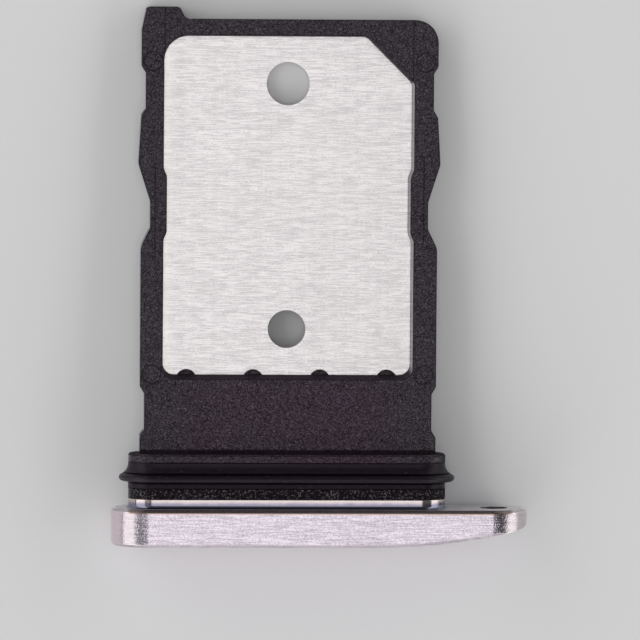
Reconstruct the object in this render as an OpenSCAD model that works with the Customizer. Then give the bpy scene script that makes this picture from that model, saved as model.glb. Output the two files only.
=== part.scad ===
// Card tray for a phone: a moulded frame with a pocket for one chip card, carried by a metal face plate.
// Origin: centre of the whole tray in X and Y, underside of the face plate in Z. Millimetres.
// +Y is the way the tray goes in, +Z is the side the card is laid in from. The face plate is at -Y.

/* [Face plate] */
// How far the plate stands out past the left end of the collar
plate_left = 0.61; // [0.5:0.01:0.8]
// How far the plate stands out past the right end of the collar, where the pin hole is
plate_right = 3.01; // [2.8:0.01:3.4]
// How far the plate stands out above and below the collar
plate_rim = 0.42; // [0.36:0.01:0.55]
// Depth of the face plate where its outer face is flat
plate_d = 1.38; // [1.3:0.01:1.6]
// Radius of the bend at the right of the outer face
bend_r = 22.5; // [20:0.05:30]
// Length of the bend, measured from the right end of the plate
bend_l = 5.69; // [4.5:0.01:6.5]
// Width of the small bevel round both edges of the plate
plate_bevel = 0.1; // [0.04:0.01:0.15]
// Radius of the two corners at the back of the plate
back_corner_r = 0.2; // [0.1:0.01:0.25]
// Radius of the front left corner of the plate
left_corner_r = 0.15; // [0.08:0.01:0.25]
// Radius of the front right corner, where the bend ends
right_corner_r = 0.3; // [0.15:0.01:0.32]

/* [Pin hole] */
// Diameter of the hole that the release pin goes in
pin_hole_d = 1; // [0.8:0.05:1.2]
// Distance of that hole from the right end of the plate
pin_hole_inset = 1.21; // [1.1:0.01:1.35]
// Width of the countersink at the mouth of the hole
pin_hole_bevel = 0.05; // [0.02:0.01:0.08]

/* [Neck and collar] */
// How far the collar stands out past each side of the frame
collar_side = 0.4; // [0.3:0.01:0.5]
// How far the collar stands out above and below the frame
collar_rise = 0.43; // [0.4:0.005:0.5]
// Length of the metal neck behind the plate
neck_l = 0.34; // [0.25:0.01:0.5]
// Radius of the hollow where the neck meets the plate
neck_cove_r = 0.14; // [0.05:0.01:0.2]
// Length of the flange next to the neck
near_flange_l = 0.39; // [0.3:0.01:0.5]
// Length of the flange next to the frame
far_flange_l = 0.31; // [0.25:0.01:0.45]
// Bevel on the far flange
flange_bevel = 0.06; // [0.02:0.01:0.1]
// Depth of the groove that the seal sits in
groove_depth = 0.35; // [0.25:0.01:0.4]

/* [Seal ring] */
// Length of the seal along the collar
seal_l = 0.96; // [0.8:0.01:1.1]
// How far the lip stands out from the flanges
lip_reach = 0.35; // [0.28:0.01:0.38]
// Distance of the lip from the near end of the seal
lip_at = 0.37; // [0.3:0.01:0.45]
// Radius of the tip of the lip
lip_tip_r = 0.13; // [0.08:0.01:0.15]
// Radius of the hollow sweep up to the lip
lip_sweep_r = 0.6; // [0.5:0.01:0.8]

/* [Card and its play] */
// Length of the card
card_l = 12.3; // [11.8:0.1:15]
// Width of the card
card_w = 8.8; // [8.4:0.1:12]
// Thickness of the card
card_t = 0.67; // [0.6:0.01:0.8]
// Size of the cut corner of the card
card_key = 1.65; // [1.4:0.05:1.8]
// Play at each end of the card
end_play = 0.05; // [0.03:0.01:0.12]
// Play at each side of the card
side_play = 0.14; // [0.1:0.01:0.18]
// Play at each side where the pocket is pinched in
pinch_play = 0.02; // [0.01:0.01:0.08]
// Extra size of the pocket's slanted corner over the cut corner of the card
key_play = 0.04; // [0:0.01:0.12]
// How far the card lies below the top of the frame
card_sink = 0.03; // [0:0.01:0.08]

/* [Pocket shape] */
// Distance from the far end of the pocket to the middle of the pinch
pinch_at = 6.16; // [5.8:0.02:6.6]
// Length of the pinched stretch
pinch_l = 2.05; // [1.6:0.05:2.4]
// Length of each ramp into the pinch
pinch_ramp = 0.28; // [0.2:0.01:0.4]
// Radius at the ends of those ramps
pinch_blend_r = 0.3; // [0.1:0.01:0.32]
// Radius of the far left corner of the pocket
far_corner_r = 0.9; // [0.6:0.05:1.1]
// Radius of the two near corners of the pocket
near_corner_r = 0.42; // [0.3:0.01:0.45]
// Radius at both ends of the slanted corner
key_blend_r = 0.35; // [0.2:0.01:0.45]
// How far the near wall leans out from the floor to the top
near_draft = 0.13; // [0.02:0.01:0.15]
// How far all other walls lean out from the floor to the top
side_draft = 0.045; // [0.01:0.005:0.08]

/* [Frame] */
// Width of the rail to the left of the pocket
left_rail_w = 0.85; // [0.8:0.01:0.95]
// Width of the rail to the right of the pocket
right_rail_w = 0.91; // [0.8:0.01:0.95]
// Length of the solid bar between collar and pocket
near_bar_l = 2.85; // [2.5:0.01:3.2]
// Length of the bar beyond the pocket
far_bar_l = 0.63; // [0.5:0.01:0.8]
// Radius of the far right corner of the frame
far_round_r = 0.85; // [0.5:0.05:0.95]
// How far the far bar lies below the rails
far_bar_step = 0.02; // [0.01:0.01:0.04]
// Diameter of the two ejector marks at the far end
far_mark_d = 0.7; // [0.5:0.01:0.76]
// Distance of the far marks from the end of the frame
far_mark_at = 1.55; // [1.4:0.01:1.8]
// Diameter of the two ejector marks at the near end
near_mark_d = 0.68; // [0.5:0.01:0.76]
// Distance of the near marks beyond the near wall of the pocket
near_mark_at = 0.05; // [0:0.01:0.4]
// Depth of the ejector marks
mark_depth = 0.03; // [0.01:0.01:0.05]

/* [Guide tab] */
// Length of the tab at the far left corner
tab_l = 0.44; // [0.4:0.01:0.7]
// Width of the tab at its root
tab_w = 1.59; // [1.4:0.01:2]
// How far the right side of the tab leans in
tab_right_lean = 0.2; // [0.15:0.01:0.3]
// How far the left side of the tab leans in
tab_left_lean = 0.18; // [0.1:0.01:0.25]
// Distance before the end of the frame where the left side starts to lean
tab_left_start = 0.4; // [0.2:0.01:0.6]
// Radius of the tab's corners
tab_round_r = 0.22; // [0.1:0.01:0.22]
// Radius where the tab meets the far bar
tab_foot_r = 0.3; // [0.1:0.01:0.3]

/* [Latch notches] */
// Depth of the notch in each side
notch_depth = 0.34; // [0.2:0.01:0.36]
// Distance from the end of the frame to the middle of the notch
notch_at = 7.15; // [6.9:0.01:7.3]
// Length of the flat bottom of the notch
notch_l = 0.98; // [0.7:0.02:1.2]
// Length of the near ramp of the notch
notch_near_ramp = 0.7; // [0.4:0.02:0.9]
// Length of the far ramp, up to the hump
notch_far_ramp = 1.38; // [1:0.02:1.5]
// How far the hump beyond the notch stands out
hump_out = 0.1; // [0.02:0.01:0.12]
// Radius at the near end of the notch
notch_edge_r = 0.6; // [0.3:0.05:0.8]
// Radius at both ends of the flat bottom
notch_floor_r = 0.25; // [0.1:0.01:0.35]
// Radius of the top of the hump
hump_r = 0.5; // [0.2:0.05:0.8]

/* [Side reliefs] */
// Depth of the two shallow reliefs in each side
relief_depth = 0.16; // [0.08:0.01:0.18]
// Distance from the collar to the middle of the near relief
near_relief_at = 1.53; // [1.4:0.01:1.7]
// Distance from the end of the frame to the middle of the far relief
far_relief_at = 2.63; // [2.4:0.01:2.8]
// Length of each relief
relief_l = 1.6; // [1.2:0.01:1.6]
// Length of the ramps at the reliefs
relief_ramp = 0.26; // [0.1:0.01:0.3]
// Radius at the ends of those ramps
relief_r = 0.15; // [0.05:0.01:0.16]

/* [Floor plate] */
// Thickness of the sheet
sheet_t = 0.2; // [0.15:0.01:0.25]
// How far the sheet lies up from the underside of the frame
sheet_lift = 0.05; // [0.03:0.01:0.08]
// Width of the margin that is held under the rails
sheet_margin = 0.3; // [0.2:0.01:0.32]
// How far that margin is pressed down
margin_drop = 0.05; // [0.02:0.01:0.08]
// Diameter of the far hole in the sheet
far_hole_d = 1.57; // [1.2:0.01:1.8]
// Diameter of the near hole in the sheet
near_hole_d = 1.38; // [1.2:0.01:1.8]
// Distance of the far hole from the far end of the pocket
far_hole_inset = 1.73; // [1.6:0.01:2.2]
// Distance of the near hole from the near end of the pocket
near_hole_inset = 1.68; // [1.6:0.01:2.2]
// Length of the bent-up anchors in the rails
anchor_l = 1.4; // [1:0.05:1.8]
// Height of the bent-up anchors above the margin
anchor_h = 0.36; // [0.25:0.01:0.42]
// Distance from the near end of the pocket to the middle of the near anchors
near_anchor_at = 1.9; // [1.5:0.05:2.6]
// Distance from the far end of the pocket to the middle of the far anchors
far_anchor_at = 3.2; // [2.9:0.05:3.5]

/* [Pads in the floor] */
// Number of half-round notches in the near edge of the sheet, filled by the moulding as pads
pad_count = 4; // [2:1:4]
// Radius of the pads
pad_r = 0.38; // [0.3:0.01:0.42]
// How far the pads reach into the pocket
pad_reach = 0.2; // [0.1:0.01:0.3]
// Distance from one pad to the next
pad_pitch = 2.45; // [2.2:0.01:2.5]
// How far the pads lie below the floor
pad_sink = 0.04; // [0.01:0.01:0.08]

/* [Tongue] */
// Distance of the tongue's edges from the ends of the collar
tongue_cover = 1.25; // [1:0.05:1.8]
// Thickness of the tongue
tongue_t = 0.45; // [0.35:0.01:0.5]
// Length of the tongue from the end of the neck
tongue_l = 3.1; // [2.8:0.05:3.3]
// Number of holes that lock the moulding to the tongue
lock_holes = 4; // [3:1:5]
// Diameter of those holes
lock_hole_d = 0.8; // [0.6:0.05:0.95]
// Distance of the holes from the end of the tongue
lock_hole_inset = 0.8; // [0.65:0.01:1]

/* [Hidden] */
$fn = 96;

// How far cuts run past what they cut, and joined bodies into one another
over = 0.2;

// Sizes that follow from the card: pocket, then frame, collar, face plate and tongue
pocket_l = card_l + 2 * end_play;
pocket_w = card_w + 2 * side_play;
pinch_w = card_w + 2 * pinch_play;
pocket_key = card_key + key_play;
pocket_d = card_t + card_sink;
frame_t = pocket_d + sheet_t + sheet_lift;
frame_l = near_bar_l + pocket_l + far_bar_l;
frame_w = left_rail_w + pocket_w + right_rail_w;
collar_w = frame_w + 2 * collar_side;
collar_h = frame_t + 2 * collar_rise;
plate_w = plate_left + collar_w + plate_right;
plate_h = collar_h + 2 * plate_rim;
tongue_w = collar_w - 2 * tongue_cover;

// Stations along X: the collar and the frame are not in the middle of the plate, nor the pocket in the frame
collar_shift = (plate_right - plate_left) / 2;
pocket_x = (left_rail_w - right_rail_w) / 2 - collar_shift;
bend_start = plate_w / 2 - bend_l;
pin_hole_x = plate_w / 2 - pin_hole_inset;

// Stations along Y
collar_l = near_flange_l + seal_l + far_flange_l;
total_l = plate_d + neck_l + collar_l + frame_l + tab_l;
y_face = -total_l / 2;
y_seat = y_face + plate_d;
y_neck = y_seat + neck_l;
y_groove = y_neck + near_flange_l;
y_frame = y_neck + collar_l;
y_pocket = y_frame + near_bar_l;
y_far = y_frame + frame_l;

// Levels along Z
z_mid = plate_h / 2;
z_under = z_mid - frame_t / 2;
z_top = z_mid + frame_t / 2;
z_sheet = z_under + sheet_lift;
z_floor = z_sheet + sheet_t;
z_margin = z_floor - margin_drop;

// Collar profile
flange_r = collar_h / 2;
core_r = flange_r - groove_depth;
collar_reach = collar_w / 2 - flange_r;
frame_half = frame_w / 2;

// Ends of the reliefs and of the notch's flat bottom, measured along the frame
near_relief = [near_relief_at - relief_l / 2, near_relief_at + relief_l / 2];
far_relief = [frame_l - far_relief_at - relief_l / 2, frame_l - far_relief_at + relief_l / 2];
notch = [frame_l - notch_at - notch_l / 2, frame_l - notch_at + notch_l / 2];

// Unit vector at an angle
function ray(a) = [cos(a), sin(a)];

// Angle of a vector
function angle_of(v) = atan2(v[1], v[0]);

// Shortest turn from one angle to another
function turn(a, b) = let (d = b - a) d > 180 ? d - 360 : d < -180 ? d + 360 : d;

// Points of the arc that rounds the corner at b between a and c
function corner_arc(a, b, c, r) =
  let (
    u = (a - b) / norm(a - b),
    v = (c - b) / norm(c - b),
    half = acos(u * v) / 2,
    centre = b + (u + v) / norm(u + v) * r / sin(half),
    first = b + u * r / tan(half),
    last = b + v * r / tan(half),
    from = angle_of(first - centre),
    sweep = turn(from, angle_of(last - centre)),
    steps = max(2, round(abs(sweep) / 9))
  )
  [for (i = [0:steps]) centre + r * ray(from + sweep * i / steps)];

// Points of a closed outline whose corners are rounded, each entry being [x, y, radius]
function rounded(corners) =
  let (n = len(corners))
  [
    for (i = [0:n - 1])
      let (
        a = corners[(i + n - 1) % n],
        b = corners[i],
        c = corners[(i + 1) % n],
        here = [b[0], b[1]]
      )
      each b[2] > 0 ? corner_arc([a[0], a[1]], here, [c[0], c[1]], b[2]) : [here]
  ];

// Sweeps a profile, drawn as distance from the middle line against Y, round the long oval of the collar
module round_oval(reach) {
  for (side = [-1, 1])
    translate([side * reach, 0, z_mid])
      rotate([-90, 0, 0])
        rotate_extrude()
          children();
  translate([0, 0, z_mid])
    rotate([0, 90, 0])
      linear_extrude(height = 2 * reach, center = true) {
        children();
        mirror([1, 0])
          children();
      }
}

// The rest of a sector outside its round, for taking off a corner
module corner_rest(centre, from, to, r) {
  difference() {
    polygon([centre, centre + ray(from), centre + ray(from) + ray(to), centre + ray(to)]);
    translate(centre)
      circle(r = r);
  }
}

// Points of one ramp of a relief, centred at a distance along the frame; step is 1 going in and -1 coming out
function relief_ramp_points(at, step) = [
  [frame_half - (step > 0 ? 0 : relief_depth), at - relief_ramp / 2, relief_r],
  [frame_half - (step > 0 ? relief_depth : 0), at + relief_ramp / 2, relief_r]
];

// Points along one side of the frame from the collar on, as [distance out, distance along, radius]
side_line = [
  [frame_half, -over, 0],
  each relief_ramp_points(near_relief[0], 1),
  each relief_ramp_points(near_relief[1], -1),
  [frame_half, notch[0] - notch_near_ramp, notch_edge_r],
  [frame_half - notch_depth, notch[0], notch_floor_r],
  [frame_half - notch_depth, notch[1], notch_floor_r],
  [frame_half + hump_out, notch[1] + notch_far_ramp, hump_r],
  each relief_ramp_points(far_relief[0], 1),
  each relief_ramp_points(far_relief[1], -1)
];

// Outline of the frame seen from above, from the end of the collar
module frame_outline() {
  last = len(side_line) - 1;
  root = tab_w - frame_half;
  tip = frame_l + tab_l;
  far_end = [
    [frame_half, frame_l, far_round_r],
    [root, frame_l, tab_foot_r],
    [root - tab_right_lean, tip, tab_round_r],
    [tab_left_lean - frame_half, tip, tab_round_r],
    [-frame_half, frame_l - tab_left_start, tab_round_r]
  ];
  polygon(rounded([
    each side_line,
    each far_end,
    for (i = [last:-1:0]) [-side_line[i][0], side_line[i][1], side_line[i][2]]
  ]));
}

// Points of the pocket's outline from its near wall, with its walls moved out by the given amounts
function pocket_points(side = 0, near = 0) =
  let (
    half = pocket_w / 2 + side,
    pinch = pinch_w / 2 + side,
    near_end = pocket_l - pinch_at - pinch_l / 2,
    far_start = pocket_l - pinch_at + pinch_l / 2,
    far_end = pocket_l + side,
    cut = pocket_key + (2 - sqrt(2)) * side
  )
  rounded([
    [half, -near, near_corner_r],
    [half, near_end - pinch_ramp, pinch_blend_r],
    [pinch, near_end, pinch_blend_r],
    [pinch, far_start, pinch_blend_r],
    [half, far_start + pinch_ramp, pinch_blend_r],
    [half, far_end - cut, key_blend_r],
    [half - cut, far_end, key_blend_r],
    [-half, far_end, far_corner_r],
    [-half, far_start + pinch_ramp, pinch_blend_r],
    [-pinch, far_start, pinch_blend_r],
    [-pinch, near_end, pinch_blend_r],
    [-half, near_end - pinch_ramp, pinch_blend_r],
    [-half, -near, near_corner_r]
  ]);

// Outline of the pocket at its floor
module pocket_outline() {
  polygon(pocket_points());
}

// Space of the pocket above its floor, with walls that lean out
module pocket_space() {
  height = pocket_d + over;
  grow = height / pocket_d;
  floor_ring = pocket_points();
  mouth_ring = pocket_points(side_draft * grow, near_draft * grow);
  n = len(floor_ring);
  middle = pocket_l / 2;
  at_pocket(z_floor)
    polyhedron(
      points = [
        for (p = floor_ring) [p[0], p[1], 0],
        for (p = mouth_ring) [p[0], p[1], height],
        [0, middle, 0],
        [0, middle, height]
      ],
      faces = [
        for (i = [0:n - 1]) each [
          [2 * n, i, (i + 1) % n],
          [2 * n + 1, n + (i + 1) % n, n + i],
          [i, n + i, n + (i + 1) % n, (i + 1) % n]
        ]
      ]
    );
}

// Notches in the near edge of the sheet, seen from above
module pad_notches() {
  depth = sheet_margin + over + pad_reach - pad_r;
  for (i = [1:pad_count])
    translate([(i - (pad_count + 1) / 2) * pad_pitch, pad_reach - pad_r]) {
      circle(r = pad_r);
      translate([-pad_r, -depth])
        square([2 * pad_r, depth]);
    }
}

// Outline of the whole sheet, with the margin that goes under the rails on all sides
module sheet_outline() {
  half = pocket_w / 2 + sheet_margin;
  far_end = pocket_l + sheet_margin;
  cut = pocket_key + (2 - sqrt(2)) * sheet_margin;
  difference() {
    polygon(rounded([
      [half, -sheet_margin, near_corner_r],
      [half, far_end - cut, key_blend_r],
      [half - cut, far_end, key_blend_r],
      [-half, far_end, far_corner_r],
      [-half, -sheet_margin, near_corner_r]
    ]));
    pad_notches();
  }
}

// Places what is drawn from the near wall of the pocket
module at_pocket(z) {
  translate([pocket_x, y_pocket, z])
    children();
}

// Bent-up anchors along both long edges of the sheet, each with a slot for the moulding to flow through
module sheet_anchors() {
  wall = sheet_t - margin_drop;
  edge = pocket_w / 2 + sheet_margin;
  for (side = [-1, 1])
    for (along = [near_anchor_at, pocket_l - far_anchor_at])
      translate([side * (edge - wall / 2), along, z_margin])
        difference() {
          translate([-wall / 2, -anchor_l / 2, -wall])
            cube([wall, anchor_l, anchor_h + wall]);
          translate([-wall, -anchor_l / 4, anchor_h / 3])
            cube([2 * wall, anchor_l / 2, anchor_h / 3]);
        }
}

// The sheet without its two holes
module sheet_body() {
  at_pocket(z_sheet)
    linear_extrude(height = sheet_t - margin_drop)
      sheet_outline();
  at_pocket(z_sheet)
    linear_extrude(height = sheet_t)
      difference() {
        pocket_outline();
        pad_notches();
      }
  at_pocket(0)
    sheet_anchors();
}

// Tongue that holds the metal in the moulding, with its lock holes
module tongue(root = 0) {
  length = tongue_l + root;
  y_lock = y_neck + tongue_l - lock_hole_inset;
  difference() {
    translate([-collar_shift - tongue_w / 2, y_neck - root, z_mid - tongue_t / 2])
      cube([tongue_w, length, tongue_t]);
    for (i = [1:lock_holes])
      translate([(i - 0.5) * tongue_w / lock_holes - tongue_w / 2 - collar_shift, y_lock, z_mid - tongue_t])
        cylinder(d = lock_hole_d, h = 2 * tongue_t);
  }
}

// Shallow marks in the top of the frame: four ejector circles, and the step of all beyond the pocket
module frame_marks() {
  step_at = y_pocket + pocket_l - pocket_key;
  for (mark_x = [left_rail_w / 2 - frame_half, frame_half - right_rail_w / 2]) {
    translate([mark_x - collar_shift, y_far - far_mark_at, z_top - mark_depth])
      cylinder(d = far_mark_d, h = frame_t);
    translate([mark_x - collar_shift, y_pocket + near_mark_at, z_top - mark_depth])
      cylinder(d = near_mark_d, h = frame_t);
  }
  translate([pocket_x - pocket_w / 2, step_at, z_top - far_bar_step])
    cube([pocket_w, y_far + tab_l + over - step_at, frame_t]);
}

// Frame, collar and flanges, moulded in one piece round the sheet and the tongue
module carrier_frame() {
  color([0.16, 0.15, 0.17])
    difference() {
      union() {
        translate([-collar_shift, y_frame, z_under])
          linear_extrude(height = frame_t)
            frame_outline();
        translate([-collar_shift, y_neck, 0])
          round_oval(collar_reach)
            polygon([
              [0, 0],
              [flange_r, 0],
              [flange_r, near_flange_l],
              [core_r, near_flange_l],
              [core_r, near_flange_l + seal_l],
              [flange_r, near_flange_l + seal_l],
              [flange_r, collar_l - flange_bevel],
              [flange_r - flange_bevel, collar_l],
              [0, collar_l]
            ]);
      }
      pocket_space();
      at_pocket(z_floor - pad_sink)
        linear_extrude(height = pad_sink + over)
          intersection() {
            pocket_outline();
            pad_notches();
          }
      sheet_body();
      at_pocket(z_under - frame_t)
        linear_extrude(height = frame_t + sheet_lift)
          sheet_outline();
      tongue();
      frame_marks();
    }
}

// Metal floor of the pocket, with its pressed-down margin and the anchors in the rails
module floor_plate() {
  color([0.8, 0.79, 0.78])
    difference() {
      sheet_body();
      at_pocket(z_sheet - over) {
        translate([0, pocket_l - far_hole_inset, 0])
          cylinder(d = far_hole_d, h = sheet_t + 2 * over);
        translate([0, near_hole_inset, 0])
          cylinder(d = near_hole_d, h = sheet_t + 2 * over);
      }
    }
}

// Profile of the seal as if it were solid: band, hollow sweep and round lip
module seal_profile() {
  tip = [flange_r + lip_reach - lip_tip_r, lip_at];
  top = [flange_r, seal_l];
  gap = norm(tip - top);
  along = (lip_sweep_r ^ 2 - (lip_sweep_r + lip_tip_r) ^ 2 + gap ^ 2) / (2 * gap);
  out = sqrt(lip_sweep_r ^ 2 - along ^ 2);
  way = (tip - top) / gap;
  sweep_centre = top + along * way + out * [-way[1], way[0]];
  touch = tip + lip_tip_r * (sweep_centre - tip) / norm(sweep_centre - tip);
  square([flange_r, seal_l]);
  translate(tip)
    circle(r = lip_tip_r);
  difference() {
    polygon([
      [0, lip_at - lip_tip_r],
      [tip[0], lip_at - lip_tip_r],
      tip,
      touch,
      [touch[0], seal_l],
      [0, seal_l]
    ]);
    translate(sweep_centre)
      circle(r = lip_sweep_r);
  }
}

// Soft seal that sits in the groove of the collar
module seal_ring() {
  color([0.1, 0.1, 0.11])
    translate([-collar_shift, y_groove, 0])
      difference() {
        round_oval(collar_reach)
          seal_profile();
        round_oval(collar_reach)
          translate([0, -over])
            square([core_r, seal_l + 2 * over]);
      }
}

// Body of the face plate before its corners are rounded
module plate_blank() {
  half = plate_h / 2;
  translate([0, y_face, 0])
    round_oval(plate_w / 2 - half)
      polygon([
        [0, 0],
        [half - plate_bevel, 0],
        [half, plate_bevel],
        [half, plate_d - plate_bevel],
        [half - plate_bevel, plate_d],
        [0, plate_d]
      ]);
}

// What the bend of the outer face takes off, with the bevel carried round it
module bend_cut() {
  half = plate_h / 2;
  past = plate_h;
  difference() {
    translate([bend_start, y_face - over, -over])
      cube([plate_w, plate_d, plate_h + 2 * over]);
    translate([bend_start, y_face + bend_r, z_mid])
      rotate_extrude()
        polygon([
          [0, -half - past],
          [bend_r - plate_bevel - past, -half - past],
          [bend_r, plate_bevel - half],
          [bend_r, half - plate_bevel],
          [bend_r - plate_bevel - past, half + past],
          [0, half + past]
        ]);
  }
}

// What the rounded corners take off, seen from above
module corner_cuts() {
  half = plate_w / 2;
  bend_centre = [bend_start, y_face + bend_r];
  inner = bend_r - right_corner_r;
  right_x = half - right_corner_r;
  right_y = bend_centre[1] - sqrt(inner ^ 2 - (right_x - bend_start) ^ 2);
  slope = angle_of([right_x, right_y] - bend_centre);
  corner_rest([half - back_corner_r, y_seat - back_corner_r], 0, 90, back_corner_r);
  corner_rest([back_corner_r - half, y_seat - back_corner_r], 90, 180, back_corner_r);
  corner_rest([left_corner_r - half, y_face + left_corner_r], 180, 270, left_corner_r);
  corner_rest([right_x, right_y], slope, 0, right_corner_r);
}

// Metal neck behind the plate, with the hollow that runs into it
module neck() {
  translate([-collar_shift, y_seat, 0])
    round_oval(collar_reach) {
      translate([0, -over])
        square([flange_r, neck_l + over]);
      difference() {
        square([flange_r + neck_cove_r, neck_cove_r]);
        translate([flange_r + neck_cove_r, neck_cove_r])
          circle(r = neck_cove_r);
      }
    }
}

// Hole for the release pin, with a countersink square to the bent face
module pin_hole() {
  slope = asin((pin_hole_x - bend_start) / bend_r);
  mouth = y_face + bend_r * (1 - cos(slope));
  radius = pin_hole_d / 2;
  translate([pin_hole_x, y_face - over, z_mid])
    rotate([-90, 0, 0])
      cylinder(r = radius, h = plate_d + 2 * over);
  translate([pin_hole_x, mouth, z_mid])
    rotate([-90, 0, slope])
      translate([0, 0, -over])
        cylinder(r1 = radius + pin_hole_bevel + over, r2 = radius - over, h = pin_hole_bevel + 2 * over);
}

// Metal face plate with its neck and tongue
module end_cap() {
  color([0.78, 0.7, 0.74])
    difference() {
      union() {
        difference() {
          plate_blank();
          bend_cut();
          translate([0, 0, -over])
            linear_extrude(height = plate_h + 2 * over)
              corner_cuts();
        }
        neck();
        tongue(over);
      }
      pin_hole();
    }
}

carrier_frame();
floor_plate();
seal_ring();
end_cap();
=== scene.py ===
import math

import bpy
from mathutils import Matrix, Vector


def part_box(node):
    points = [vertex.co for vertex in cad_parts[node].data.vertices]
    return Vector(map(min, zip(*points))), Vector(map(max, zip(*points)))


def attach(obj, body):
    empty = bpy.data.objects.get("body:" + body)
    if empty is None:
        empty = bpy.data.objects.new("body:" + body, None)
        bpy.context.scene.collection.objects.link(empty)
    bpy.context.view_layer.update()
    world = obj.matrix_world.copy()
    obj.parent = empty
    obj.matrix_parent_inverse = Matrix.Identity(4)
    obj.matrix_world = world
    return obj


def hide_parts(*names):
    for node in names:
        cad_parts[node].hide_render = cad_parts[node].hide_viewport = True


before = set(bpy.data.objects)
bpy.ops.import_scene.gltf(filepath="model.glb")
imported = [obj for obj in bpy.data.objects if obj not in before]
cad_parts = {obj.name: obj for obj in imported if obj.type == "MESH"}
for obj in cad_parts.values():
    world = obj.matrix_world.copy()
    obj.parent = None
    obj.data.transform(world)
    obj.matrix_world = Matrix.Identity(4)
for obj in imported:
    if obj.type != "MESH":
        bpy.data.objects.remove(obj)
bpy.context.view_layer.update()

mm = 0.001
capLow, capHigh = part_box("end_cap")
frameLow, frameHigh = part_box("carrier_frame")
sealLow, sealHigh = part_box("seal_ring")
collarX = (frameLow.x + frameHigh.x) / 2  # middle of collar and frame, left of the plate's middle
midZ = (capLow.z + capHigh.z) / 2
plateBack = frameLow.y - 0.34 * mm  # back of the plate, where the neck starts
print("frame loaded, nodes:", ", ".join(sorted(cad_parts)))


# small helpers for node trees

def feed(tree, node, inputs):
    # an input is either a value or the socket that feeds it
    for name, value in inputs.items():
        if isinstance(value, bpy.types.NodeSocket):
            tree.links.new(value, node.inputs[name])
        else:
            node.inputs[name].default_value = value


def addNode(tree, kind, inputs=None, **settings):
    node = tree.nodes.new(kind)
    for name, value in settings.items():
        setattr(node, name, value)
    feed(tree, node, inputs or {})
    return node


def maths(tree, operation, first, second=0.0):
    return addNode(tree, "ShaderNodeMath", {0: first, 1: second}, operation=operation).outputs[0]


def times(tree, first, second):
    return maths(tree, "MULTIPLY", first, second)


def apart(tree, value, middle):
    return maths(tree, "ABSOLUTE", maths(tree, "SUBTRACT", value, middle))


def spread(tree, value, fromMin, fromMax, toMin=0.0, toMax=1.0):
    # eases from one value to the other as the input crosses its range, which may run downwards
    return addNode(tree, "ShaderNodeMapRange", {
        "Value": value, "From Min": fromMin, "From Max": fromMax, "To Min": toMin, "To Max": toMax,
    }, interpolation_type="SMOOTHSTEP").outputs["Result"]


def between(tree, value, low, high, blur):
    # 1 from low to high, fading out over the blur
    half = (high - low) / 2
    return spread(tree, apart(tree, value, (low + high) / 2), half + blur, half)


def mixValue(tree, factor, first, second):
    return addNode(tree, "ShaderNodeMix", {0: factor, 2: first, 3: second}).outputs[0]


def mixColour(tree, factor, first, second):
    inputs = {0: factor, 6: first, 7: second}
    return addNode(tree, "ShaderNodeMix", inputs, data_type="RGBA").outputs[2]


def objectPlace(tree, stretch=(1, 1, 1)):
    place = addNode(tree, "ShaderNodeTexCoord").outputs["Object"]
    return addNode(tree, "ShaderNodeMapping", {"Vector": place, "Scale": stretch}).outputs["Vector"]


def axisOf(tree, place, axis):
    return addNode(tree, "ShaderNodeSeparateXYZ", {"Vector": place}).outputs[axis]


def facing(tree, axis):
    # how far the surface faces along one axis, from -1 to 1
    return axisOf(tree, addNode(tree, "ShaderNodeNewGeometry").outputs["Normal"], axis)


def noise(tree, place, grain, detail=2.0, rough=0.5):
    # grain is the size of one blotch in metres
    return addNode(tree, "ShaderNodeTexNoise", {
        "Vector": place, "Scale": 1 / grain, "Detail": detail, "Roughness": rough,
    }).outputs["Fac"]


def cells(tree, place, size):
    # one random value in every cell of this size
    split = addNode(tree, "ShaderNodeTexVoronoi", {"Vector": place, "Scale": 1 / size})
    colour = addNode(tree, "ShaderNodeSeparateColor", {"Color": split.outputs["Color"]})
    return colour.outputs["Red"]


def roundedNormal(tree, radius):
    return addNode(tree, "ShaderNodeBevel", {"Radius": radius}, samples=6).outputs["Normal"]


def edgeMask(tree, rounded, firm):
    # 1 on the edges, where the rounded normal turns away from the flat one
    flat = addNode(tree, "ShaderNodeNewGeometry").outputs["Normal"]
    agree = addNode(tree, "ShaderNodeVectorMath", {0: rounded, 1: flat}, operation="DOT_PRODUCT")
    return spread(tree, agree.outputs["Value"], 0.9995, firm)


def bumped(tree, height, depth, strength, normal=None):
    inputs = {"Height": height, "Distance": depth, "Strength": strength}
    if normal is not None:
        inputs["Normal"] = normal
    return addNode(tree, "ShaderNodeBump", inputs).outputs["Normal"]


def newMaterial(name):
    material = bpy.data.materials.new(name)
    material.use_nodes = True
    return material, material.node_tree, material.node_tree.nodes["Principled BSDF"]


# moulded plastic of the frame and collar

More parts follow.
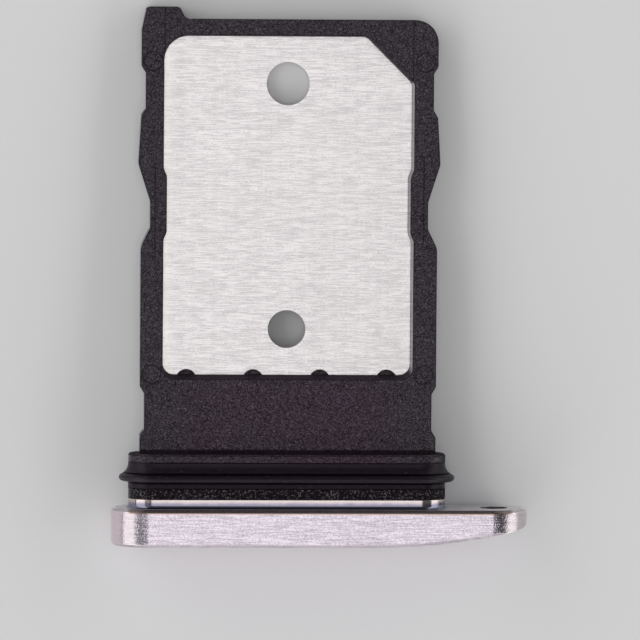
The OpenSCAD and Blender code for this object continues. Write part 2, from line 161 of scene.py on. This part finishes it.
plasticLook = {
    "pit": (0.0072, 0.0036, 0.0072, 1),
    "grey": (0.0405, 0.0322, 0.0425, 1),  # tops of the grain
    "violet": (0.0510, 0.0242, 0.0455, 1),  # tops of the grain in the middle of the near bar
    "flange": (0.0048, 0.0032, 0.0056, 1),
    "fibre": (0.20, 0.18, 0.20, 1),  # glass fibre ends that catch the light
    "glint": (1.0, 0.93, 1.0, 1),  # tint of the highlights
    "grain": 0.035 * mm,
    "grainSoft": 0.25,  # share of soft noise in the grain
    "grainDepth": 0.008 * mm,
    "grainBump": (0.3, 0.1),  # tops, walls
    "blotch": 1.8 * mm,
    # where the violet tint ends and where it is full, from the collar's middle and along Y
    "violetAcross": (4.7 * mm, 2.8 * mm),
    "violetAlong": (-3.4 * mm, -4.4 * mm),
    "fewFibres": (0.975, 1.0, 0.0, 0.5),  # on the frame: which specks, and how strong
    "manyFibres": (0.78, 1.0, 0.0, 0.80),  # on the near flange
    "edgeRadius": 0.05 * mm,
    "edgeFirm": 0.97,
    # painted shade along the edges
    "edgeShade": 0.75,
    "flangeEnd": frameLow.y + 0.39 * mm,  # the near flange is darker and shows far more fibres
    "flangeBlur": 0.02 * mm,
    "farEnd": frameHigh.y - 0.7 * mm,  # the smooth end wall is beyond
    "corner": frameLow.y + 1.735 * mm,  # where the frame meets the collar, darkened there by painted shade
    "cornerReach": (0.10 * mm, 0.05 * mm),
    "cornerShade": 0.85,
    # lines where parts of the mould meet: from x, to x, from y, to y
    "mouldLines": (
        (-6.115 * mm, -6.085 * mm, 0.93 * mm, 4.15 * mm),
        (-6.10 * mm, -5.78 * mm, 0.915 * mm, 0.945 * mm),
        (3.705 * mm, 3.735 * mm, 1.19 * mm, 4.30 * mm),
    ),
    "lineBlur": 0.02 * mm,
    "lineDark": 0.6,
    "topRough": (0.46, 0.36),  # pits, tops
    "topShine": (0.08, 0.68),
    "wallRough": (0.6, 0.06),  # grained walls, smooth walls
    "wallShine": (0.10, 0.6),
    "flangeShine": 0.3,
}


def mouldedPlastic():
    look = plasticLook
    material, tree, shader = newMaterial("mouldedPlastic")
    place = objectPlace(tree)
    x, y = axisOf(tree, place, "X"), axisOf(tree, place, "Y")
    speck = cells(tree, place, look["grain"])
    grain = mixValue(tree, look["grainSoft"], speck, noise(tree, place, 1.6 * look["grain"], 1))
    rounded = roundedNormal(tree, look["edgeRadius"])

    # which surface this is: walls, smooth walls, near flange
    wall = spread(tree, maths(tree, "ABSOLUTE", facing(tree, "Z")), 0.75, 0.35)
    leftWall = spread(tree, facing(tree, "X"), -0.8, -0.97)
    atEnd = maths(tree, "GREATER_THAN", y, look["farEnd"])
    endWall = times(tree, spread(tree, facing(tree, "Y"), 0.8, 0.97), atEnd)
    smooth = maths(tree, "MAXIMUM", leftWall, endWall)
    flangeEnd, blur = look["flangeEnd"], look["flangeBlur"]
    flange = spread(tree, y, flangeEnd + blur, flangeEnd - blur)

    # dark places: painted shade along the edges, mould lines, and painted shade in the corner at
    # the collar
    edge = times(tree, edgeMask(tree, rounded, look["edgeFirm"]), look["edgeShade"])
    fineLine = 0.0
    for fromX, toX, fromY, toY in look["mouldLines"]:
        across = between(tree, x, fromX, toX, look["lineBlur"])
        line = times(tree, across, between(tree, y, fromY, toY, look["lineBlur"]))
        fineLine = maths(tree, "MAXIMUM", line, fineLine)
    fineLine = times(tree, fineLine, look["lineDark"])
    # painted shade in the corner where the frame meets the collar
    fromCorner = apart(tree, y, look["corner"])
    corner = spread(tree, fromCorner, *look["cornerReach"], 0.0, look["cornerShade"])
    dark = maths(tree, "MAXIMUM", edge, maths(tree, "MAXIMUM", fineLine, corner))

    # colour of the grain, and the fibres in it
    across = spread(tree, apart(tree, x, collarX), *look["violetAcross"])
    tinted = times(tree, across, spread(tree, y, *look["violetAlong"]))
    patchy = spread(tree, noise(tree, place, look["blotch"], 2), 0.3, 0.6, 0.55, 1.0)
    tops = mixColour(tree, times(tree, tinted, patchy), look["grey"], look["violet"])
    base = mixColour(tree, grain, look["pit"], mixColour(tree, flange, tops, look["flange"]))
    few, many = spread(tree, speck, *look["fewFibres"]), spread(tree, speck, *look["manyFibres"])
    grained = mixColour(tree, mixValue(tree, flange, few, many), base, look["fibre"])

    topShine = spread(tree, grain, 0.0, 1.0, *look["topShine"])
    shine = mixValue(tree, wall, topShine, mixValue(tree, smooth, *look["wallShine"]))
    calm = times(tree, shine, mixValue(tree, flange, 1.0, look["flangeShine"]))
    topRough = spread(tree, grain, 0.0, 1.0, *look["topRough"])
    strength = mixValue(tree, wall, *look["grainBump"])
    feed(tree, shader, {
        "Base Color": mixColour(tree, dark, grained, look["pit"]),
        "Roughness": mixValue(tree, wall, topRough, mixValue(tree, smooth, *look["wallRough"])),
        "Specular IOR Level": times(tree, calm, spread(tree, dark, 0.0, 1.0, 1.0, 0.2)),
        "Specular Tint": look["glint"],
        "Normal": bumped(tree, grain, look["grainDepth"], strength, rounded),
    })
    return material


# sheet of the pocket floor, brushed across the tray

sheetLook = {
    "bright": (0.900, 0.857, 0.862, 1),
    "dull": (0.670, 0.636, 0.645, 1),
    "warm": (1.0, 0.98, 0.90, 1),
    "cloud": (0.80, 0.815, 0.80, 1),
    "line": 0.022 * mm,  # width of one brush line
    "lineLength": 0.09 * mm,
    "longStretch": 0.055,  # a long line's width over its length
    "lineDepth": 0.002 * mm,
    "lineBump": 0.15,
    "cloudSize": 3.5 * mm,
    "cloudShare": 0.12,
    "left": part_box("floor_plate")[0].x + 0.35 * mm,  # foot of the left rail
    "warmWidth": 0.5 * mm,  # warmer strip along the left rail
    "warmShare": 0.35,
    "edgeRadius": 0.02 * mm,
    "rough": (0.34, 0.28),  # dull lines, bright lines
}


def brushedSheet():
    look = sheetLook
    material, tree, shader = newMaterial("brushedSheet")
    place = objectPlace(tree)
    along = look["line"] / look["lineLength"]
    fine = noise(tree, objectPlace(tree, (along, 1, 1)), look["line"], 1)
    long = cells(tree, objectPlace(tree, (look["longStretch"], 1, 1)), look["line"])
    lines = mixValue(tree, 0.5, fine, spread(tree, long, 0.0, 1.0, 0.3, 0.7))
    tone = mixColour(tree, spread(tree, lines, 0.37, 0.63), look["dull"], look["bright"])
    cloud = noise(tree, place, look["cloudSize"], 2)
    cloudy = spread(tree, cloud, 0.3, 0.7, 0.0, look["cloudShare"])
    clouded = mixColour(tree, cloudy, tone, look["cloud"])
    left, width = look["left"], look["warmWidth"]
    atLeft = spread(tree, axisOf(tree, place, "X"), left + width, left, 0.0, look["warmShare"])
    rounded = roundedNormal(tree, look["edgeRadius"])
    feed(tree, shader, {
        "Base Color": mixColour(tree, atLeft, clouded, look["warm"]),
        "Metallic": 1.0,
        "Roughness": spread(tree, lines, 0.35, 0.65, *look["rough"]),
        "Normal": bumped(tree, lines, look["lineDepth"], look["lineBump"], rounded),
    })
    return material


# anodised metal of the end cap: brushed side, satin outer face, polished neck

capLook = {
    "lilac": (0.835, 0.755, 0.845, 1),
    "lilacDull": (0.370, 0.325, 0.370, 1),
    "startDarkReflection": (0.10, 0.085, 0.10, 1),  # painted dark reflection in the specks where the round ends start
    # painted reflection tones on the round ends
    "endLilacReflected": (0.700, 0.632, 0.660, 1),
    "endDullReflected": (0.470, 0.420, 0.440, 1),
    "pinkReflection": (0.98, 0.78, 0.87, 1),  # painted pink reflection on the left end
    "pinkShare": 0.6,
    "face": (0.690, 0.562, 0.652, 1),  # outer face, pinker than the brushed side
    "faceDull": (0.625, 0.508, 0.592, 1),
    "neck": (0.655, 0.565, 0.55, 1),
    "foot": (0.235, 0.23, 0.31, 1),  # painted shade at the neck's foot, in the corner behind the plate
    # painted pale reflection on the back face
    "back": (0.93, 0.94, 0.95, 1),
    # painted dark reflection along the back edge
    "backDarkReflection": (0.22, 0.17, 0.17, 1),
    "warmRim": (0.62, 0.40, 0.28, 1),  # warmer along the back rim
    # painted highlight along the edges
    "edgeHighlight": (0.98, 0.91, 0.90, 1),
    "line": 0.026 * mm,
    "lineLength": 0.8 * mm,
    "speckShare": 0.55,
    "grain": 0.036 * mm,
    "ripple": 0.055 * mm,  # size of the uneven spots that break up reflections
    "rippleDepth": 0.04 * mm,
    "edgeRadius": 0.035 * mm,
    "edgeFirm": 0.985,
    "edgeShare": 0.8,
    # distances from the back of the plate, each from none to full
    "neckFrom": (-0.01 * mm, 0.01 * mm),
    "footFrom": (0.37 * mm, 0.18 * mm),
    "backLineFrom": (-0.15 * mm, -0.115 * mm),
    "rimFrom": (-0.185 * mm, -0.145 * mm),
    "rimShare": 0.6,
    "ragged": (0.35 * mm, 0.10 * mm),  # size and reach of the uneven border of the painted shade at the neck's foot
    "lineStart": (frameLow.x - 0.1 * mm, frameLow.x + 0.1 * mm),  # of the back line, at the left
    "lineStop": (capHigh.x - 0.55 * mm, capHigh.x - 0.75 * mm),
    "backMetal": 0.35,  # how metallic the back face looks
    "rough": {"side": 0.20, "face": 0.34, "neck": 0.12},
    "uneven": {"side": 0.08, "start": 0.34, "end": 0.16, "face": 0.05},
}


def anodisedMetal():
    look = capLook
    material, tree, shader = newMaterial("anodisedMetal")
    place = objectPlace(tree)
    x, y = axisOf(tree, place, "X"), axisOf(tree, place, "Y")
    rounded = roundedNormal(tree, look["edgeRadius"])
    # painted highlight along the edges
    edge = times(tree, edgeMask(tree, rounded, look["edgeFirm"]), look["edgeShare"])

    def pastBack(offsets, full=1.0, across=y):
        # eases in between two distances from the back of the plate
        return spread(tree, across, plateBack + offsets[0], plateBack + offsets[1], 0.0, full)

    # which surface this is
    onFace = spread(tree, facing(tree, "Y"), -0.6, -0.9)
    backFace = spread(tree, facing(tree, "Y"), 0.93, 0.98)
    onNeck = pastBack(look["neckFrom"])
    turned = maths(tree, "ABSOLUTE", facing(tree, "X"))
    starting = times(tree, spread(tree, turned, 0.0, 0.12), spread(tree, turned, 0.44, 0.28))
    onEnd = spread(tree, turned, 0.30, 0.42)

    # brushed side with painted reflection on the round ends and painted dark reflection where they
    # start, and the blasted face
    along = look["line"] / look["lineLength"]
    brushed = noise(tree, objectPlace(tree, (along, 1, along)), look["line"], 1)
    speck = cells(tree, place, look["grain"])
    lines = mixValue(tree, look["speckShare"], spread(tree, brushed, 0.34, 0.66), speck)
    dull = mixColour(tree, onEnd, look["lilacDull"], look["endDullReflected"])
    dull = mixColour(tree, starting, dull, look["startDarkReflection"])
    side = mixColour(tree, lines, dull, mixColour(tree, onEnd, look["lilac"], look["endLilacReflected"]))
    blasted = spread(tree, noise(tree, place, look["grain"], 2, 0.6), 0.3, 0.7)
    tone = mixColour(tree, onFace, side, mixColour(tree, blasted, look["faceDull"], look["face"]))
    # painted pink reflection on surfaces facing left
    atLeft = spread(tree, facing(tree, "X"), -0.55, -0.95, 0.0, look["pinkShare"])
    highlighted = mixColour(tree, edge, mixColour(tree, atLeft, tone, look["pinkReflection"]), look["edgeHighlight"])

    # painted dark reflection along the plate's back edge, a warm rim beside it, and a painted pale
    # reflection on the back face
    behind = times(tree, spread(tree, x, *look["lineStart"]), spread(tree, x, *look["lineStop"]))
    backSide = times(tree, behind, maths(tree, "SUBTRACT", 1.0, backFace))
    backEdgeReflection = times(tree, pastBack(look["backLineFrom"]), backSide)
    rim = times(tree, pastBack(look["rimFrom"], look["rimShare"]), behind)
    warmed = mixColour(tree, rim, highlighted, look["warmRim"])
    shaded = mixColour(tree, backEdgeReflection, warmed, look["backDarkReflection"])
    plate = mixColour(tree, backFace, shaded, look["back"])

    # painted shade at the neck's foot, behind the plate
    size, reach = look["ragged"]
    uneasy = maths(tree, "ADD", y, times(tree, noise(tree, place, size, 2), reach))
    neck = mixColour(tree, pastBack(look["footFrom"], across=uneasy), look["neck"], look["foot"])

    # most uneven where the ends start, calm on the outer face
    rough, uneven = look["rough"], look["uneven"]
    atSide = mixValue(tree, onEnd, uneven["side"], uneven["end"])
    atSide = mixValue(tree, starting, atSide, uneven["start"])
    spots = mixValue(tree, onFace, atSide, uneven["face"])
    strength = mixValue(tree, onNeck, spots, 0.0)
    ripple = noise(tree, place, look["ripple"], 1)
    plateRough = mixValue(tree, onFace, rough["side"], rough["face"])
    feed(tree, shader, {
        "Base Color": mixColour(tree, onNeck, plate, neck),
        "Metallic": spread(tree, backFace, 0.0, 1.0, 1.0, look["backMetal"]),
        "Roughness": mixValue(tree, onNeck, plateRough, rough["neck"]),
        "Normal": bumped(tree, ripple, look["rippleDepth"], strength, rounded),
    })
    return material


# soft rubber of the seal

rubberLook = {
    "black": (0.0056, 0.0028, 0.0064, 1),
    "worn": (0.0105, 0.0066, 0.0115, 1),
    "dust": (0.09, 0.08, 0.08, 1),
    "creaseShade": (0.0010, 0.0006, 0.0010, 1),
    "glint": (1.0, 0.88, 1.0, 1),  # tint of the highlights
    "creases": (0.205 * mm, 0.555 * mm),  # painted shade in the creases on both sides of the lip, from the near end
    "creaseWidth": (0.05 * mm, 0.015 * mm),
    "nose": 0.33 * mm,  # brightest line of the lip
    "noseWidth": (0.14 * mm, 0.06 * mm),
    "noseShine": 1.5,
    "grain": 0.05 * mm,
    "drawn": 0.04 * mm,  # fine lines round the ring
    "drawnStretch": 0.15,
    "skinDepth": 0.005 * mm,
    "skinBump": 0.25,
    "rough": (0.34, 0.44),
    "dustSize": 0.06 * mm,
    "dustShare": 0.3,
    "shine": 0.22,
    "creaseShine": 0.15,
}


def sealRubber():
    look = rubberLook
    material, tree, shader = newMaterial("sealRubber")
    place = objectPlace(tree)
    y = axisOf(tree, place, "Y")
    stretch = look["drawnStretch"]
    skin = noise(tree, place, look["grain"], 2)
    drawn = noise(tree, objectPlace(tree, (stretch, 1, stretch)), look["drawn"], 2)
    height = maths(tree, "ADD", skin, drawn)
    tone = mixColour(tree, spread(tree, drawn, 0.3, 0.7), look["black"], look["worn"])
    dust = spread(tree, cells(tree, place, look["dustSize"]), 0.985, 1.0, 0.0, look["dustShare"])
    dusty = mixColour(tree, dust, tone, look["dust"])
    # painted shade in the creases beside the lip
    shades = [
        spread(tree, apart(tree, y, sealLow.y + crease), *look["creaseWidth"])
        for crease in look["creases"]
    ]
    creaseShade = maths(tree, "ADD", *shades)
    fromNose = apart(tree, y, sealLow.y + look["nose"])
    bright = look["noseShine"] * look["shine"]
    shine = spread(tree, fromNose, *look["noseWidth"], look["shine"], bright)
    creased = spread(tree, creaseShade, 0.0, 1.0, 1.0, look["creaseShine"])
    feed(tree, shader, {
        "Base Color": mixColour(tree, creaseShade, dusty, look["creaseShade"]),
        "Roughness": spread(tree, skin, 0.3, 0.7, *look["rough"]),
        "Specular IOR Level": times(tree, shine, creased),
        "Specular Tint": look["glint"],
        "Normal": bumped(tree, height, look["skinDepth"], look["skinBump"]),
    })
    return material


# seal ring: its profile is swept round the long oval of the collar by Geometry Nodes

sealShape = {
    "straightHalf": (frameHigh.x - frameLow.x - frameHigh.z + frameLow.z) / 2,  # to the round ends
    "flange": (frameHigh.z - frameLow.z) / 2,  # distance of the flanges' skin from the middle line
    "grooveDepth": 0.35 * mm,
    "lipAt": 0.375 * mm,  # from the near end of the seal
    "tipRadius": 0.13 * mm,
    "sweepRadius": 0.45 * mm,
    "edgeRound": 0.035 * mm,
    "flash": 0.012 * mm,  # height of the fine parting ridge on the tip
    "flashHalf": 0.12,  # half the ridge's foot, in radians round the tip
    "endSteps": 48,  # steps round each round end
    "arcSteps": {"edge": 5, "tip": 8, "tipBack": 10, "sweep": 14, "farEdge": 4},
    "sharpFrom": 38,  # degrees
    "weld": 0.002 * mm,
}


def arcPoints(centre, radius, start, end, steps):
    return [
        centre + radius * Vector((math.cos(a), math.sin(a)))
        for a in (start + (end - start) * i / steps for i in range(steps + 1))
    ]


def sealProfile():
    # x is the distance from the groove's floor, y the distance from the near end
    s, steps = sealShape, sealShape["arcSteps"]
    length = sealHigh.y - sealLow.y
    skin = s["grooveDepth"]
    reach = (sealHigh.z - sealLow.z) / 2 - (s["flange"] - skin)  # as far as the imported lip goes
    tipR = s["tipRadius"] - s["flash"] / 2
    tip = Vector((reach - s["flash"] - tipR, s["lipAt"]))
    # the hollow sweep leaves the skin flat and runs into the round tip
    sweep = s["sweepRadius"]
    aside = skin + sweep - tip.x
    ahead = math.sqrt((sweep + tipR) ** 2 - aside ** 2)
    sweepCentre = Vector((skin + sweep, tip.y + ahead))
    touch = math.atan2(ahead, aside)
    right, ridge, r = math.pi / 2, s["flashHalf"], s["edgeRound"]
    points = [Vector((0, 0))]
    points += arcPoints(Vector((skin - r, r)), r, -right, 0, steps["edge"])
    points += arcPoints(Vector((skin + r, tip.y - tipR - r)), r, math.pi, right, steps["edge"])
    points += arcPoints(tip, tipR, -right, -ridge, steps["tip"])
    points += [Vector((reach, tip.y))]  # parting ridge
    points += arcPoints(tip, tipR, ridge, touch, steps["tipBack"])
    points += arcPoints(sweepCentre, sweep, touch - math.pi, -math.pi, steps["sweep"])[1:]
    points += arcPoints(Vector((skin - r, length - r)), r, 0, right, steps["farEdge"])
    points += [Vector((0, length))]
    return points


sealInputs = {
    "Profile": "Geometry", "Straight half": "Float", "Groove radius": "Float",
    "End steps": "Int", "Place": "Vector", "Rubber": "Material",
}


def sealTree():
    tree = bpy.data.node_groups.new("sweepSeal", "GeometryNodeTree")
    for name, kind in sealInputs.items():
        tree.interface.new_socket(name, in_out="INPUT", socket_type="NodeSocket" + kind)
    tree.interface.new_socket("Seal", in_out="OUTPUT", socket_type="NodeSocketGeometry")
    given = tree.nodes.new("NodeGroupInput").outputs
    groove = given["Groove radius"]
    box = addNode(tree, "GeometryNodeCurvePrimitiveQuadrilateral", {
        "Width": times(tree, maths(tree, "ADD", given["Straight half"], groove), 2.0),
        "Height": times(tree, groove, 2.0),
    }, mode="RECTANGLE")
    # a hair less than the full radius keeps the corners apart
    radius = times(tree, groove, 0.9999)
    oval = addNode(tree, "GeometryNodeFilletCurve", {
        "Curve": box.outputs["Curve"], "Radius": radius, "Count": given["End steps"],
    }, mode="POLY")
    path = addNode(tree, "GeometryNodeSetCurveNormal", {"Curve": oval.outputs[0]}, mode="Z_UP")
    outline = addNode(tree, "GeometryNodeMeshToCurve", {"Mesh": given["Profile"]})
    swept = addNode(tree, "GeometryNodeCurveToMesh", {
        "Curve": path.outputs[0], "Profile Curve": outline.outputs[0],
    })
    upright = (math.pi / 2, 0, 0)
    standing = addNode(tree, "GeometryNodeTransform", {
        "Geometry": swept.outputs[0], "Translation": given["Place"], "Rotation": upright,
    })
    merged = addNode(tree, "GeometryNodeMergeByDistance", {
        "Geometry": standing.outputs[0], "Distance": sealShape["weld"],
    })
    real = addNode(tree, "GeometryNodeRealizeInstances", {"Geometry": merged.outputs[0]})
    dressed = addNode(tree, "GeometryNodeSetMaterial", {
        "Geometry": real.outputs[0], "Material": given["Rubber"],
    })
    addNode(tree, "NodeGroupOutput", {"Seal": dressed.outputs[0]})
    return tree


def addObject(name, data):
    thing = bpy.data.objects.new(name, data)
    bpy.context.scene.collection.objects.link(thing)
    return thing


def sweepSeal(material):
    points = sealProfile()
    outline = bpy.data.meshes.new("sealProfile")
    edges = [(i, (i + 1) % len(points)) for i in range(len(points))]
    outline.from_pydata([(p.x, p.y, 0) for p in points], edges, [])
    drawing = addObject("sealDrawing", outline)
    tree = sealTree()
    modifier = drawing.modifiers.new("sweep", "NODES")
    modifier.node_group = tree
    values = {
        "Straight half": sealShape["straightHalf"],
        "Groove radius": sealShape["flange"] - sealShape["grooveDepth"],
        "End steps": sealShape["endSteps"],
        "Place": (collarX, sealLow.y, midZ),
        "Rubber": material,
    }
    for item in tree.interface.items_tree:
        if item.item_type == "SOCKET" and item.name in values:
            modifier[item.identifier] = values[item.name]
    graph = bpy.context.evaluated_depsgraph_get()
    mesh = bpy.data.meshes.new_from_object(drawing.evaluated_get(graph))
    bpy.data.objects.remove(drawing)
    mesh.name = "sealRing"
    mesh.shade_smooth()
    mesh.set_sharp_from_angle(angle=math.radians(sealShape["sharpFrom"]))
    return addObject("sealRing", mesh)


# floor, light and camera

floorLook = {
    "half": 1.5,  # half the side of the floor
    "tone": (0.86, 0.86, 0.86, 1),
    "otherTone": (0.84, 0.84, 0.85, 1),
    "cloud": 60 * mm,
    "rough": 0.9,
    "shine": 0.2,
    "gap": 0.005 * mm,  # under the tray
    "frameThickness": 0.95 * mm,
    "bevel": 0.1 * mm,  # along the plate's edges
}


def layFloor():
    # the tray lies on the back edge of the plate and on the tip of the frame,
    # so the floor leans in its frame
    look = floorLook
    heel = Vector((plateBack - look["bevel"], capLow.z))
    tip = Vector((frameHigh.y, midZ - look["frameThickness"] / 2))
    slope = (tip.y - heel.y) / (tip.x - heel.x)
    h = look["half"]
    corners = [
        (x, y, heel.y + slope * (y - heel.x) - look["gap"])
        for x, y in ((-h, -h), (h, -h), (h, h), (-h, h))
    ]
    mesh = bpy.data.meshes.new("floor")
    mesh.from_pydata(corners, [], [(0, 1, 2, 3)])
    floor = addObject("floor", mesh)
    material, tree, shader = newMaterial("paleFloor")
    tint = noise(tree, objectPlace(tree), look["cloud"], 2)
    feed(tree, shader, {
        "Base Color": mixColour(tree, tint, look["tone"], look["otherTone"]),
        "Roughness": look["rough"],
        "Specular IOR Level": look["shine"],
    })
    mesh.materials.append(material)


studio = {
    "worldTone": (1, 1, 1, 1),
    "worldLevel": 0.12,
    "distance": 0.6,  # of every soft box from the tray
    # name: angle from straight up, turn about Z from +X, width, height, radiance
    "boxes": {
        "overheadBox": (0, 0, 0.25, 0.39, 1.17),
        "leftFill": (29, 180, 1.2, 0.26, 0.3),
        "leftBox": (61.5, 180, 3.0, 0.50, 1.35),
        "rightBox": (69, 0, 3.0, 0.41, 1.35),
        "frontBox": (72, 270, 1.2, 0.45, 0.9),
    },
}


def lightStudio():
    world = bpy.data.worlds.new("studioWorld")
    bpy.context.scene.world = world
    world.use_nodes = True
    background = world.node_tree.nodes["Background"].inputs
    background["Color"].default_value = studio["worldTone"]
    background["Strength"].default_value = studio["worldLevel"]
    for name, (tilt, turn, width, height, radiance) in studio["boxes"].items():
        lamp = bpy.data.lights.new(name, "AREA")
        lamp.shape = "RECTANGLE"
        lamp.size = width
        lamp.size_y = height
        lamp.energy = radiance * math.pi * width * height
        lean = Matrix.Rotation(math.radians(tilt), 3, "Y")
        away = Matrix.Rotation(math.radians(turn), 3, "Z") @ lean @ Vector((0, 0, 1))
        aimed = away.to_track_quat("Z", "Y").to_matrix().to_4x4()
        box = addObject(name, lamp)
        box.matrix_world = Matrix.Translation(away * studio["distance"]) @ aimed
        box.visible_camera = False


cameraLook = {
    "lean": (-0.06, 0.063, 1),  # way from the tray to the camera
    "distance": 0.2525,
    "aim": (-0.02 * mm, -1.588 * mm, midZ),
    "roll": 0.42,  # degrees
    "lens": 388,
    "clip": (0.01, 20),
}


def placeCamera():
    look = cameraLook
    back = Vector(look["lean"]).normalized()
    roll = math.radians(look["roll"])
    right = Vector((-math.sin(roll), math.cos(roll), 0)).cross(back).normalized()
    turn = Matrix((right, back.cross(right), back)).transposed().to_4x4()
    camera = addObject("camera", bpy.data.cameras.new("camera"))
    camera.data.lens = look["lens"]
    camera.data.clip_start, camera.data.clip_end = look["clip"]
    camera.matrix_world = Matrix.Translation(Vector(look["aim"]) + back * look["distance"]) @ turn
    bpy.context.scene.camera = camera


placeCamera()
layFloor()
lightStudio()
bpy.context.scene.view_settings.view_transform = "Standard"
print("camera, floor and light in place")

for node, material in (
    ("carrier_frame", mouldedPlastic()),
    ("floor_plate", brushedSheet()),
    ("end_cap", anodisedMetal()),
):
    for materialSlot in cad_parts[node].material_slots:
        materialSlot.material = material
print("plastic, sheet and cap dressed")

rubber = sealRubber()
seal = sweepSeal(rubber)
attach(seal, "root")
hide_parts("seal_ring")
print("seal swept round the collar")
